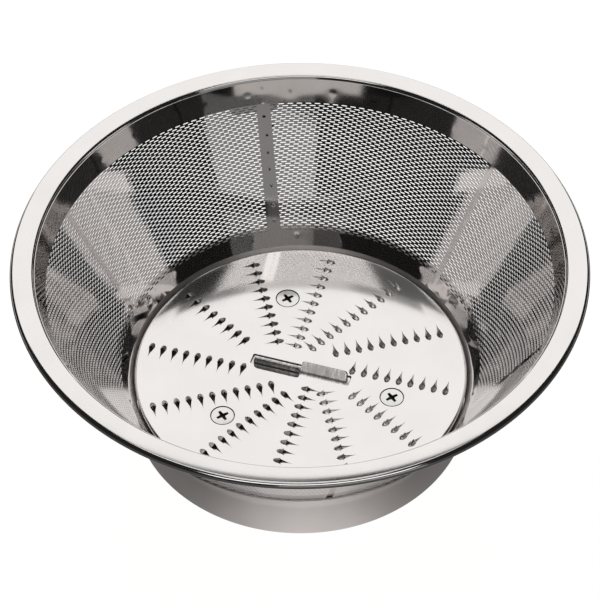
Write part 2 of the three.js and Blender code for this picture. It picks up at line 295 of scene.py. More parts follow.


# %% [markdown]
# All the steels share one recipe. A base colour is mixed towards a darker one where the metal is marked or
# carries painted shade, a slow noise varies the polish as handling does, and a fine grain, drawn out along
# the direction in which the part was ground, feeds the roughness and a shallow bump. On turned parts the
# grain runs round the axis, so the noise is read in radius, height and a slowly changing angle.


# %% Steel recipe
grain_counts = {  # noise cells in a metre of x, y and z; of radius, angle and height on turned parts
    "round": (9000, 12, 9000),
    "straight": (1800, 300, 300),
    "even": (2600, 2600, 2600),
}
handling_scale, ripple_scale = 70, 90
mark_darkens, handling_darkens = 0.85, 0.1
mark_roughens = 0.25


def steel(name, colour, dark, roughness, spread, bump=0.0, grain="even", ripple=0.0, tilt=0.0, **settings):
    """A metal finish. bump and ripple are heights in metres, and tilt turns the grain about Z."""
    material = bpy.data.materials.new(name)
    tree = Tree(material)
    place = tree.node("ShaderNodeTexCoord", output=3)
    if tilt:
        turn = {"Vector": place, "Axis": (0, 0, 1), "Angle": tilt}
        place = tree.node("ShaderNodeVectorRotate", {"rotation_type": "AXIS_ANGLE"}, turn)
    x, y, z = (tree.node("ShaderNodeSeparateXYZ", None, {0: place}, k) for k in range(3))
    if grain == "round":
        x, y = (x * x + y * y) ** 0.5, x.maths("ARCTAN2", y, x)
    drawn = {k: part * count for k, (part, count) in enumerate(zip((x, y, z), grain_counts[grain]))}
    drawn = tree.node("ShaderNodeCombineXYZ", None, drawn)

    def noise(vector, scale, detail):
        return tree.node("ShaderNodeTexNoise", None, {"Vector": vector, "Scale": scale, "Detail": detail})

    fine, slow = noise(drawn, 1, 2), noise(place, handling_scale, 4)
    # The marks value at each point holds weld marks, the screws' darker band below the face, and painted
    # shade on the blade's wings.
    marks = tree.node("ShaderNodeAttribute", {"attribute_name": "marks"}, None, 2)
    darker = marks * mark_darkens + slow * handling_darkens + (fine - 0.5) * spread
    tone = tree.node("ShaderNodeMix", {"data_type": "RGBA"}, {0: darker, 6: (*colour, 1), 7: (*dark, 1)}, 2)
    height = fine * bump
    if ripple:
        height = height + noise(place, ripple_scale, 0) * ripple
    relief = tree.node("ShaderNodeBump", None, {"Height": height, "Distance": 1.0, "Strength": 1.0})
    rough = roughness + (fine - 0.5) * spread + (slow - 0.5) * spread + marks * mark_roughens
    sockets = {"Base Color": tone, "Metallic": 1.0, "Roughness": rough, "Normal": relief, **settings}
    shader = tree.node("ShaderNodeBsdfPrincipled", None, sockets)
    tree.node("ShaderNodeOutputMaterial", None, {"Surface": shader})
    return material


# %% [markdown]
# Each finish has the tone of the clean metal, the tone of its marks and painted shade, a roughness and how
# far that varies. The foil is etched all over, and its plain bands are wavy from welding. The base is
# brushed round and round, so its highlights are drawn out. The blade's slopes show the straight scratches
# of a grinding wheel, which run across the slot's direction.

# %% Finishes
slot_turn = math.radians(19.35)
# The second dark tone below is shared by the punched and ground finishes: their grain varies towards it,
# and on the blade's wings it is the colour of painted shade.
black, soot = (0.03, 0.03, 0.03), (0.05, 0.05, 0.05)
foil_tone = (0.64, 0.615, 0.605)
mirror = steel("mirror_steel", (0.88, 0.86, 0.85), (0.12, 0.11, 0.10), 0.085, 0.05, 1e-7, "round")
etched = steel("etched_steel", foil_tone, black, 0.055, 0.03, ripple=2e-5)
welded_steel = steel("welded_steel", foil_tone, black, 0.055, 0.03, ripple=1e-4)
punched = steel("punched_steel", (0.84, 0.82, 0.81), soot, 0.3, 0.1, 4e-7)
brushed = {"Anisotropic": 0.8, "Anisotropic Rotation": 0.25}
satin = steel("satin_steel", (0.73, 0.685, 0.67), (0.4, 0.39, 0.38), 0.42, 0.1, 8e-7, "round", **brushed)
pickled = steel("pickled_steel", (0.55, 0.53, 0.52), (0.16, 0.15, 0.15), 0.4, 0.12, 1e-6, "round")
ground = steel("ground_steel", (0.86, 0.84, 0.83), soot, 0.3, 0.5, 1.5e-5, "straight", tilt=slot_turn)
plated = steel("plated_steel", (0.86, 0.85, 0.84), (0.02, 0.02, 0.02), 0.14, 0.06, 3e-7)
cast = steel("cast_aluminium", (0.62, 0.62, 0.62), (0.3, 0.3, 0.3), 0.5, 0.15, 1.2e-5)
print("finishes:", [m.name for m in bpy.data.materials if m.use_nodes])

# %% [markdown]
# ## The rim
# The rim is one turned piece of bright sheet: a flat band, a hem rolled down and under at the outside
# so that no edge can cut a hand, and a skirt at the inside that laps over the foil. A section with true
# arcs, turned in many steps, keeps its reflections clean.

# %% Rim
rim_sheet = 0.8
hem_radius = 1.4
hem_curl = 240
rim_fillet = 0.9
lap_gap = 0.15
rim_top = top_of("rim_ring")
skirt_bottom = bottom_of("rim_ring")


def wall_radius(height, depth):
    """Radius of the basket's wall at a height, for a face that lies depth outside the foil's inner face."""
    steep = height > wall_break[1]
    base = wall_break if steep else foot
    lean = skirt_lean if steep else wall_lean
    return base[0] + math.tan(lean) * (height - base[1]) + depth / math.cos(wall_lean)


def rim_section():
    hem = (rim_radius - hem_radius, rim_top - hem_radius)
    lap = sheet + lap_gap
    inner = wall_radius(rim_top, lap)
    lean = math.degrees(skirt_lean)
    inset = rim_fillet * math.tan(math.radians((90 - lean) / 2))
    bend = (inner + inset, rim_top - rim_fillet)
    return [
        *arc(hem, hem_radius, 90 - hem_curl, 90, 36),
        *arc(bend, rim_fillet, 90, 180 - lean, 10),
        (wall_radius(skirt_bottom, lap), skirt_bottom),
        (wall_radius(skirt_bottom, lap + rim_sheet), skirt_bottom),
        (wall_radius(rim_top - rim_sheet, lap + rim_sheet), rim_top - rim_sheet),
        *arc(hem, hem_radius - rim_sheet, 90, 90 - hem_curl, 24),
    ]


piece("rim", joined([turned(rim_section(), 480)]), mirror, ["rim_ring"])

# %% [markdown]
# ## The filter foil
# The foil is one etched sheet rolled into a cone. Six panels of staggered slots are parted by narrow
# plain bars, and one bar is wide because the sheet's two ends are spot-welded there. Every slot is real
# here: light comes through, and a painted pattern could not do that. A panel is laid out flat, as the
# etcher's film would be, cut into triangles, and then rolled onto the cone.

# %% The layout of one panel
panels = 6
seam_azimuth = 97.0
seam_width = 4.65
bar_width = 2.0
row_pitch = 0.752
column_pitch = 1.515
slot_length = 2.0
slot_height = 0.47
row_margin = 0.5
smallest_slot = 0.15
band_top = foot[1] + 4.6
slope = math.sin(wall_lean)
rise = math.cos(wall_lean)


def slant(height):
    """Distance from the cone's apex, along its face, at a height."""
    return foot[0] / slope + (height - foot[1]) / rise


def rolled(depth, centre):
    """Rolls flat points onto the cone. Flat +Y is the panel's middle line, and the apex is at 0, 0."""

    def place(points):
        distance = np.hypot(points[:, 0], points[:, 1])
        azimuth = math.radians(centre) - np.arctan2(points[:, 0], points[:, 1]) / slope
        radius = distance * slope + depth / rise
        height = foot[1] + (distance - slant(foot[1])) * rise
        return np.column_stack([radius * np.cos(azimuth), radius * np.sin(azimuth), height])

    return place


def kept(polygon, normal, reach):
    """The part of a convex polygon within reach along a direction."""
    result = []
    for here, after in zip(polygon, polygon[1:] + polygon[:1]):
        side, side_after = (reach - normal[0] * p[0] - normal[1] * p[1] for p in (here, after))
        if side >= 0:
            result.append(here)
        if side * side_after < 0:
            share = side / (side - side_after)
            result.append(tuple(a + (b - a) * share for a, b in zip(here, after)))
    return result


def flat_area(polygon):
    return sum(a[0] * b[1] - b[0] * a[1] for a, b in zip(polygon, polygon[1:] + polygon[:1])) / 2


def slot_shape(x, distance):
    """A slot with round ends, laid along the arc at a distance from the apex."""
    turn = math.asin(x / distance)
    radius, straight = slot_height / 2, (slot_length - slot_height) / 2
    shape = []
    for end in (1, -1):
        for angle in (-90, -30, 30, 90):
            a = end * (straight + radius * math.cos(math.radians(angle)))
            b = end * radius * math.sin(math.radians(angle))
            swing = turn + a / distance
            shape.append(((distance + b) * math.sin(swing), (distance + b) * math.cos(swing)))
    return shape


# %% [markdown]
# The slots stand in straight columns beside the panel's middle line and in rows along arcs, and every
# other row is moved by half a step. Where a slot meets a bar it is cut off along the bar.


# %% Panels
half_turn = math.pi / panels * slope


def bar_side(side, width):
    """The direction of a panel's border line on one side, and how far the bar beside it reaches."""
    normal = (side * math.cos(half_turn), -math.sin(half_turn))
    return normal, -width / 2


def panel_slots(left, right):
    """All slots of a panel between bars of the given widths."""
    first, last = slant(band_top) + row_margin, slant(wall_break[1]) - row_margin
    rows = int((last - first) / row_pitch) + 1
    slots = []
    for row in range(rows):
        distance = last - row * row_pitch
        reach = int(distance * math.sin(half_turn) / column_pitch) + 1
        for column in range(-reach, reach + 1):
            if (row + column) % 2 or abs(column * column_pitch) > distance * math.sin(half_turn):
                continue
            shape = slot_shape(column * column_pitch, distance)
            for normal, limit in (bar_side(-1, left), bar_side(1, right)):
                shape = kept(shape, normal, limit)
            if len(shape) > 3 and flat_area(shape) > smallest_slot:
                slots.append(shape)
    return slots


def panel_outline(left_cut, right_cut):
    """The outline of a panel, anticlockwise. A side can be cut back, where the seam strip takes over."""
    low, high = slant(band_top), slant(wall_break[1])
    sides = []
    for side, cut in ((-1, left_cut), (1, right_cut)):
        distances = np.linspace(low, high, 14)
        turns = side * (half_turn - np.arcsin(cut / distances))
        sides.append([(d * math.sin(t), d * math.cos(t)) for d, t in zip(distances, turns)])
    left, right = sides

    def across(distance, start, end, steps):
        turns = np.linspace(math.atan2(*start), math.atan2(*end), steps + 1)[1:-1]
        return [(distance * math.sin(t), distance * math.cos(t)) for t in turns]

    bottom, top = across(low, left[0], right[0], 60), across(high, right[-1], left[-1], 84)
    return [left[0], *bottom, *right, *top, *left[:0:-1]]


for number in range(panels):
    centre = seam_azimuth - (number + 0.5) * 360 / panels
    left_bar = seam_width if number == 0 else bar_width
    right_bar = seam_width if number == panels - 1 else bar_width
    left_cut = seam_width / 2 if number == 0 else 0
    right_cut = seam_width / 2 if number == panels - 1 else 0
    slots = panel_slots(left_bar, right_bar)
    flat = triangulated(panel_outline(left_cut, right_cut), slots)
    shell = thick(*flat, rolled(0, centre), rolled(sheet, centre))
    replaced = ["filter_foil"] if number == 0 else []
    piece(f"foil_panel_{number + 1}", shell, etched, replaced)
    print("  slots:", len(slots))

# %% [markdown]
# Above and below the panels the foil is plain. Spot welds hold it to the rim above and to the base
# below, and each weld leaves a shallow pit and a little heat colour. The sheet between two welds bows
# slightly, which makes the reflections ripple. These bands and the seam strip are fine grids whose
# points are pushed in at the welds, and a "marks" value at each point tells the finish where they are.


# %% Welds
def welded(points, welds, size, depth, bow=0.0):
    """How far each point is pushed out, and how dark it is marked, near the weld points."""
    push, marks = np.zeros(points.shape[:2]), np.zeros(points.shape[:2])
    for weld in welds:
        away = np.linalg.norm(points - weld, axis=2)
        push += depth * np.exp(-((away / size) ** 2)) + bow * np.exp(-((away / (4 * size)) ** 2))
        marks = np.maximum(marks, np.exp(-((away / (0.8 * size)) ** 4)))
    return push, marks


def wall_grid(heights, azimuths, depth):
    """Points on the wall, one row for each height and one column for each azimuth in degrees."""
    radii = np.array([wall_radius(h, depth) for h in heights])
    turn = np.radians(azimuths)
    x, y = np.outer(radii, np.cos(turn)), np.outer(radii, np.sin(turn))
    return np.stack([x, y, np.repeat(np.array(heights)[:, None], len(azimuths), 1)], 2)


def wall_point(azimuth, height):
    radius, turn = wall_radius(height, 0), math.radians(azimuth)
    return np.array([radius * math.cos(turn), radius * math.sin(turn), height])


def pushed(points, push):
    """Moves wall points out from the axis."""
    radius = np.hypot(points[..., 0], points[..., 1])
    moved = points.copy()
    moved[..., :2] *= ((radius + push) / radius)[..., None]
    return moved


def band(name, heights, steps, welds, size, depth, bow, tint):
    """A plain band of the foil, all the way round. tint says how dark its welds are."""
    azimuths = np.linspace(0, 360, steps, endpoint=False)
    inner = wall_grid(heights, azimuths, 0)
    push, marks = welded(inner, welds, size, depth, bow)
    shell = patch(pushed(wall_grid(heights, azimuths, sheet), push), pushed(inner, push), ring=True)
    marks = np.concatenate([marks.ravel()] * 2) * tint
    return piece(name, shell, welded_steel, crease=50, marks=marks)


margin_weld_azimuths = np.arange(90.5, 450, 10)
margin_weld_height = wall_break[1] + 3.4
seam_weld_heights = (62.3, 66.7)
foot_weld_azimuths = np.arange(seam_azimuth - 7.5, seam_azimuth + 352, 15)
foot_weld_height = foot[1] + 3.0
weld_size = 0.6
upper_welds = [wall_point(azimuth, margin_weld_height) for azimuth in margin_weld_azimuths]
upper_welds += [wall_point(seam_azimuth, height) for height in seam_weld_heights]
lower_welds = [wall_point(azimuth, foot_weld_height) for azimuth in foot_weld_azimuths]
margin_heights = np.linspace(wall_break[1], wall_top[1], 15)
foot_heights = np.linspace(foot[1], band_top, 12)
band("foil_margin", margin_heights, 900, upper_welds, weld_size, depth=0.02, bow=0.01, tint=0.3)
band("foil_foot", foot_heights, 720, lower_welds, weld_size, depth=0.08, bow=0.05, tint=0.8)
print("welds:", len(upper_welds), "above,", len(lower_welds), "below")

# %% Seam strip
seam_rows, seam_columns = 210, 21
seam_weld_size, seam_weld_depth = 0.36, 0.05
seam_welds = [(170.4, 0.1), (165.3, 0), (160.2, -0.1), (153.5, 0.4), (147.3, 0.2), (141.3, 0.3)]
seam_welds += [(135.3, 0.4), (128.5, 0.5), (122.9, 0.3), (117.6, 0.2)]


def seam_strip():
    """A strip along the seam. Its welds are given by distance from the cone's apex and distance aside."""
    heights = np.linspace(band_top, wall_break[1], seam_rows)
    sideways = np.linspace(-seam_width / 2, seam_width / 2, seam_columns)
    distance = np.array([slant(h) for h in heights])
    turn = math.radians(seam_azimuth) + np.arcsin(sideways[None, :] / distance[:, None]) / slope
    faces = []
    for depth in (0, sheet):
        radius = np.repeat([[wall_radius(h, depth)] for h in heights], seam_columns, 1)
        tall = np.repeat(heights[:, None], seam_columns, 1)
        faces.append(np.stack([radius * np.cos(turn), radius * np.sin(turn), tall], 2))
    welds = []
    for along, aside in seam_welds:
        height = foot[1] + (along - slant(foot[1])) * rise
        welds.append(wall_point(seam_azimuth - math.degrees(aside / wall_radius(height, 0)), height))
    push, marks = welded(faces[0], welds, seam_weld_size, seam_weld_depth)
    shell = patch(pushed(faces[1], push), pushed(faces[0], push))
    return shell, np.concatenate([marks.ravel()] * 2)


strip, strip_marks = seam_strip()
piece("foil_seam", strip, etched, crease=50, marks=strip_marks)

# %% [markdown]
# ## The tab behind the seam
# A small doubler plate stiffens the top of the seam. It is welded on from outside, and through the slots
# it shows as a plain patch with cut corners. It follows the cone, so it is a bent patch too.

# %% Seam tab
tab_low, tab_high = bottom_of("seam_tab"), top_of("seam_tab")
tab_vertices = np.array([tuple(v.co / mm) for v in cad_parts["seam_tab"].data.vertices])
tab_turns = np.degrees(np.arctan2(tab_vertices[:, 1], tab_vertices[:, 0]))
tab_middle, tab_half = (tab_turns.max() + tab_turns.min()) / 2, np.ptp(tab_turns) / 2
tab_sheet = 0.4
tab_taper = 0.77


def seam_tab():
    rows, columns = 12, 40
    across = np.linspace(-1, 1, columns)
    faces = []
    for depth in (sheet + lap_gap, sheet + lap_gap + tab_sheet):
        face = np.zeros((rows, columns, 3))
        for i, height in enumerate(np.linspace(tab_low, tab_high, rows)):
            up = i / (rows - 1)
            turn = np.radians(tab_middle + across * tab_half * (tab_taper + (1 - tab_taper) * up))
            radius, level = wall_radius(height, depth), np.full(columns, height)
            face[i] = np.column_stack([radius * np.cos(turn), radius * np.sin(turn), level])
        faces.append(face)
    return patch(faces[1], faces[0])


piece("seam_tab_plate", seam_tab(), etched, ["seam_tab"])

# %% [markdown]
# ## The base
# The base cup is a drawn ring: a straight satin wall to stand on, a soft shoulder, and a lip that grips
# the foot of the foil. The floor plate closes it from inside.

# %% Base cup
cup_sheet = 0.8
shoulder_fillet = 4
lip_top = top_of("base_cup")
base_radius = max(radius for radius, height in corners_of("base_cup") if height < 0.1)


def meeting_height(radius, depth):
    """Where a straight wall of this radius meets the line of the basket's wall at a depth."""
    return foot[1] - (wall_radius(foot[1], depth) - radius) / math.tan(wall_lean)


def cup_section():
    outside, inside = sheet + lap_gap + cup_sheet, sheet + lap_gap
    bore = base_radius - cup_sheet
    return rounded([
        (bore, 0, 0.2),
        (base_radius, 0, 0.3),
        (base_radius, meeting_height(base_radius, outside), shoulder_fillet),
        (wall_radius(lip_top, outside), lip_top, 0.3),
        (wall_radius(lip_top, inside), lip_top, 0.3),
        (bore, meeting_height(bore, inside), shoulder_fillet + cup_sheet),
    ], 10)


piece("base_ring", joined([turned(cup_section(), 360)]), satin, ["base_cup"], crease=50)

# %% [markdown]
# The discs and plates share their screw places, so these are worked out once from the screw nodes.

# %% Screw places
screw_places = []
for number in (1, 2, 3):
    low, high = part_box(f"disc_screw_{number}")
    screw_places.append(((low.x + high.x) / 2 / mm, (low.y + high.y) / 2 / mm))
screw_head = (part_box("disc_screw_1")[1].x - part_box("disc_screw_1")[0].x) / 2 / mm
screw_shank = 1.9
seat_gap = 0.3
print("screws at", [(round(x, 2), round(y, 2)) for x, y in screw_places])
print("head radius", round(screw_head, 2))

# %% Floor plate
floor_top = top_of("floor_plate")
floor_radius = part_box("floor_plate")[1].x / mm
floor_edge_bottom = bottom_of("floor_plate")
floor_sheet = 1.0
floor_round = 1.5
floor_flat = floor_radius - floor_round
floor_holes = [circle(screw_shank + seat_gap, 32, place) for place in screw_places]
floor_shape = triangulated(circle(floor_flat, 240), floor_holes)
floor_middle = thick(*floor_shape, at_height(floor_top), at_height(floor_top - floor_sheet))
floor_edge = turned([
    (floor_flat, floor_top - floor_sheet),
    *arc((floor_flat, floor_top - floor_round), floor_round - floor_sheet, 90, 0, 6),
    (floor_radius - floor_sheet, floor_edge_bottom),
    (floor_radius, floor_edge_bottom),
    *arc((floor_flat, floor_top - floor_round), floor_round, 0, 90, 10),
])
piece("floor", joined([floor_middle, floor_edge]), pickled, ["floor_plate"])

# %% [markdown]
# ## The grater disc
# The disc is polished sheet with twelve rows of teeth. Each tooth is pierced from below: the punch
# leaves a slit that widens to a hole, and pushes up a small pointed hood whose open side faces the slit.
# The plate gets a true hole in the shape of a drop, and a hood and a sloping groove are set in it.

# %% Where the teeth stand
tooth_rows = 12
tooth_pitch = 4.0
first_tooth = 9.7
last_tooth = 52.6
row_aside = 4.3
first_row_azimuth = 71.7
left_out = [0, 0, 1, 2, 3, 1, 0, 1, 1, 3, 4, 2]
tooth_places = []
for row, skipped in enumerate(left_out):
    azimuth = math.radians(first_row_azimuth - 360 / tooth_rows * row)
    along = first_tooth - tooth_pitch / tooth_rows * row + tooth_pitch * skipped
    while along <= last_tooth:
        tooth_places.append((azimuth, along))
        along += tooth_pitch
print("teeth:", len(tooth_places))

# %% The shape of one tooth
disc_top = max(height for radius, height in corners_of("grater_disc") if radius > disc_radius - 2)
disc_edge_round = 0.9
tooth_half = 1.05
tooth_round_end = 1.9
tooth_tail = 5.0
tooth_taper = 1.8
drop_narrowest = 0.02
tooth_rise = 1.85
hood_sheet = 0.18
hood_lap = 0.06
hood_sink = 0.05
hood_reach = 0.15
hood_lean = 0.5
hood_start = 0.03
hood_ridge, hood_climb = 1.25, 1.35
groove_depth = 0.6
groove_start = 1.1
groove_sheet = 0.15
groove_lap = 0.04
groove_ramp = 0.8
groove_sink = 0.01


def drop_half(c):
    """Half the width of a tooth's drop shape. c runs from the round end, below 0, to the tail's tip."""
    if c < 0:
        return tooth_half * math.sqrt(max(0.0, 1 - (c / tooth_round_end) ** 2))
    return tooth_half * max(0.0, 1 - c / tooth_tail) ** tooth_taper


def drop_outline():
    """The drop as a closed outline in (across, c), anticlockwise."""
    ends = [-tooth_round_end * math.cos(math.radians(a)) for a in range(0, 90, 15)]
    tail = [tooth_tail * k / 7 for k in range(7)]
    right = [(max(drop_half(c), drop_narrowest), c) for c in ends[1:] + tail]
    left = [(-x, c) for x, c in reversed(right)]
    return [(0, -tooth_round_end), *right, (0, tooth_tail), *left]


def set_in_disc(points, azimuth, along):
    """Moves points of a tooth (across = outward along its row, c, height) to its place on the disc."""
    points = np.asarray(points, float)
    out, side = along + points[..., 0], row_aside + points[..., 1]
    x = out * math.cos(azimuth) - side * math.sin(azimuth)
    y = out * math.sin(azimuth) + side * math.cos(azimuth)
    return np.stack([x, y, *[points[..., k] for k in range(2, points.shape[-1])]], -1)


def hood():
    """The raised hood: it climbs from the round end to a sharp point over the hole."""
    rows, columns = 10, 13
    across = np.linspace(-1, 1, columns)
    faces = []
    for inset in (0.0, hood_sheet):
        face = np.zeros((rows, columns, 3))
        for i in range(rows):
            share = hood_start + (1 - hood_start) * i / (rows - 1)
            c = -tooth_round_end + (tooth_round_end + hood_reach) * share
            arch = (1 - np.abs(across)) ** hood_ridge
            climb = tooth_rise * share**hood_climb
            lean = hood_lean * share**3 * arch
            height = disc_top - hood_sink + (climb - inset) * arch
            half = max(drop_half(min(c, 0)) + hood_lap - inset, 0.05)
            face[i] = np.column_stack([across * half, c + lean + inset * (1 - share), height])
        faces.append(face)
    return patch(faces[0], faces[1])


def groove():
    """The slit's floor: it slopes from the tip of the tail down into the hole."""
    rows, columns = 8, 9
    across = np.linspace(-1, 1, columns)
    faces = []
    for inset in (0.0, groove_sheet):
        face = np.zeros((rows, columns, 3))
        for i in range(rows):
            share = i / (rows - 1)
            c = groove_start + (tooth_tail - groove_start) * share
            depth = groove_depth * (1 - share) ** groove_ramp
            half = drop_half(c) + groove_lap
            height = disc_top - groove_sink - depth * (1 - np.abs(across) ** 2) - inset
            face[i] = np.column_stack([across * half, np.full(columns, c), height])
        faces.append(face)
    return patch(faces[0], faces[1])


# %% Disc and teeth
slot_size = (34.3, 4.6)
slot_corner = 0.7
blade_azimuth = -slot_turn
seat_chamfer = 0.1


def turned_flat(points, azimuth):
    """Turns flat points about the axis."""
    c, s = math.cos(azimuth), math.sin(azimuth)
    return [(c * x - s * y, s * x + c * y) for x, y in points]


def slot_outline(shrink=0.0):
    """The slot's outline, or that of something that lies in it, smaller by shrink all round."""
    x, y = (side / 2 - shrink for side in slot_size)
    corners = [(a * x, b * y, slot_corner) for a, b in ((-1, -1), (1, -1), (1, 1), (-1, 1))]
    return turned_flat(rounded(corners), blade_azimuth)


holes = [slot_outline()]
holes += [circle(screw_head + seat_gap + seat_chamfer, 48, place) for place in screw_places]
holes += [set_in_disc(drop_outline(), *place).tolist() for place in tooth_places]
flat_radius = disc_radius - disc_edge_round
plate = thick(*triangulated(circle(flat_radius, 300), holes), at_height(disc_top), at_height(disc_bottom))
edge = turned([
    (flat_radius, disc_bottom),
    (disc_radius, disc_bottom),
    *arc((flat_radius, disc_top - disc_edge_round), disc_edge_round, 0, 90, 10),
], 300)
piece("disc", joined([plate, edge]), mirror, ["grater_disc"])

hoods, grooves = [], []
for place in tooth_places:
    for shape, made in ((hood, hoods), (groove, grooves)):
        vertices, faces = shape()
        made.append((set_in_disc(vertices, *place), faces))
piece("tooth_hoods", joined(hoods), punched, crease=50)
piece("tooth_grooves", joined(grooves), punched, crease=50)

# %% [markdown]
# ## The centre blade
# A foot lies in the slot, and two wings stand on it, one each side of the axis. Each wing has a ground
# slope up to its cutting edge. The second wing is the first turned half round, so the edges face
# opposite ways. A wing is a row of sections along its length, so its end corners can be rounded off.
# Only the slopes stay bright: painted shade darkens the wings' backs, most above the disc, and the wings'
# faces below the disc.


# %% Lofted parts
def lofted(rings):
    """Closes a row of rings, each a closed loop of points, into a body with flat ends."""
    rings = np.array(rings, float)
    count, size = rings.shape[:2]
    faces = [list(range(size))[::-1], [k + (count - 1) * size for k in range(size)]]
    for i in range(count - 1):
        for j in range(size):
            k = (j + 1) % size
            faces.append([i * size + j, i * size + k, (i + 1) * size + k, (i + 1) * size + j])
    return rings.reshape(-1, 3), faces


# %% Blade
blade_length = 31.7
blade_half = 1.75
blade_tip = top_of("centre_blade")
foot_bottom = bottom_of("centre_blade")
foot_top = foot_bottom + 0.4
wing_bottom = foot_top - 0.1
blade_front = -0.6
bevel_start = disc_top + 0.3
blade_land = 0.25
blade_waist = 0.1
corner_radius = 1.3
# How dark the painted shade is on the wings' backs above and below the disc, and how far above the disc's
# face it starts.
back_mark, foot_mark = 0.95, 0.25
mark_start = 0.2


def wing():
    start, end = blade_waist / 2, blade_length / 2
    slope_run = (blade_half - blade_land - blade_front) / (blade_tip - bevel_start)
    stations = []
    for angle in range(0, 91, 15):
        drop = corner_radius * (1 - math.sin(math.radians(angle)))
        run = corner_radius * (1 - math.cos(math.radians(angle)))
        stations.append((start + run, blade_tip - drop))
    stations += [(start + end - u, top) for u, top in reversed(stations)]
    rings = []
    for u, top in stations:
        face = blade_front + (top - bevel_start) * slope_run
        section = [
            (blade_front, wing_bottom),
            (blade_front, bevel_start),
            (face, top),
            (blade_half, top),
            (blade_half, wing_bottom),
        ]
        rings.append([(u, v, z) for v, z in section])
    return lofted(rings)


def turned_about(vertices, azimuth):
    c, s = math.cos(azimuth), math.sin(azimuth)
    return vertices @ np.array([[c, s, 0], [-s, c, 0], [0, 0, 1]])


foot_flat = triangulated(slot_outline(seat_gap), [])
foot_plate = thick(*foot_flat, at_height(foot_top), at_height(foot_bottom))
piece("blade_foot", joined([foot_plate]), ground)

wing_vertices, wing_faces = wing()
wings = [(turned_about(wing_vertices, blade_azimuth + turn), wing_faces) for turn in (0, math.pi)]
vertices, faces = joined(wings)
# Painted shade on the wings: their backs are darkened, most above the disc, and their faces below the disc.
on_back = wing_vertices[:, 1] > blade_half - 0.01
sunk = np.clip(disc_top + mark_start - wing_vertices[:, 2], 0, 1)
shade = np.tile(np.where(on_back, np.where(sunk > 0, foot_mark, back_mark), sunk), 2)
piece("blade_wings", (vertices, faces), ground, ["centre_blade"], 35, shade)

# %% [markdown]
# ## Screws, washers and nuts
# Three countersunk screws hold disc, floor and hub together. The head's face is a plate with a
# cross-shaped hole, and its lower side is drawn in, which makes both the countersink and the tapering
# recess. The shank below has turned thread crests, and closes the recess.

# %% Screws
recess_reach = 2.15
recess_half = 0.62
recess_taper = 0.7
recess_turn = math.radians(30)
head_sink = 0.12
head_depth = 1.5
head_crown = 0.08
thread_pitch = 0.7
thread_depth = 0.35
head_narrowing = 0.45
head_lap = 0.02
tip_chamfer, thread_start = 0.2, 0.3
plain_shank, thread_runout, neck_flare = 4, 0.4, 0.5


def cross_outline():
    end_half = recess_half * recess_taper
    arm = [(recess_half, -recess_half), (recess_reach, -end_half), (recess_reach, end_half)]
    points = [p for k in range(4) for p in turned_flat(arm, k * math.pi / 2)]
    return turned_flat(points, recess_turn)


def screw_head_shell():
    flat = triangulated(circle(screw_head, 64), [cross_outline()])

    def face(points):
        share = np.hypot(points[:, 0], points[:, 1]) / screw_head
        return np.column_stack([points, disc_top - head_sink + head_crown * (1 - share**4)])

    def underside(points):
        narrow = 1 - head_depth / screw_head * head_narrowing
        return np.column_stack([points * narrow, np.full(len(points), disc_top - head_depth)])

    return thick(*flat, face, underside)


def shank_shell():
    top, bottom = disc_top - head_depth + head_lap, bottom_of("disc_screw_1")
    crest, root = screw_shank, screw_shank - thread_depth
    section = [(0, bottom), (root - tip_chamfer, bottom)]
    height = bottom + thread_start
    while height < top - plain_shank:
        section += [(root, height), (crest, height + thread_pitch / 2)]
        height += thread_pitch
    section += [(root, height), (crest, height + thread_runout), (crest + neck_flare, top), (0, top)]
    return turned(section, 40)


for number, (x, y) in enumerate(screw_places, 1):
    shells = [(vertices + (x, y, 0), faces) for vertices, faces in (screw_head_shell(), shank_shell())]
    vertices, faces = joined(shells)
    # The finish is darker from 0.5 mm below the disc's face to 0.5 mm below the head: down the cross
    # recess, on the head's underside and on the top of the shank.
    depth = disc_top - vertices[:, 2]
    dirt = np.logical_and(depth > 0.5, depth < head_depth + 0.5).astype(float)
    piece(f"screw_{number}", (vertices, faces), plated, [f"disc_screw_{number}"], 30, dirt)

# %% Spring washers and nuts
washer_low, washer_high = bottom_of("spring_washer_1"), top_of("spring_washer_1")
washer_outer, washer_inner = 3.6, screw_shank + seat_gap
washer_split = 12
washer_edge = 0.1
nut_low, nut_high = bottom_of("hex_nut_1"), top_of("hex_nut_1")
nut_flats = 7.0
nut_chamfer = 0.5
nut_corner_cut, nut_slant = 0.05, 1.7
nut_thread_gap, nut_bore_chamfer = 0.05, 0.35
washer_twist = 0.25


def spring_washer():
    rings = []
    for turn in np.linspace(washer_split / 2, 360 - washer_split / 2, 60):
        lift = washer_twist * (turn / 360 - 0.5)
        low, high = washer_low + washer_twist / 2 + lift, washer_high - washer_twist / 2 + lift
        corners = [(washer_inner, low), (washer_outer, low), (washer_outer, high), (washer_inner, high)]
        section = rounded([(*corner, washer_edge) for corner in corners], 2)
        c, s = math.cos(math.radians(turn)), math.sin(math.radians(turn))
        rings.append([(r * c, r * s, z) for r, z in section])
    return lofted(rings)


def loop(radii, turns, height):
    """A closed loop of points about the axis, at a height."""
    return [(r * math.cos(t), r * math.sin(t), height) for r, t in zip(radii, turns)]


def prism_radius(turn, flats):
    """Radius of a six-sided outline at an angle."""
    return flats / 2 / math.cos((turn + math.pi / 6) % (math.pi / 3) - math.pi / 6)


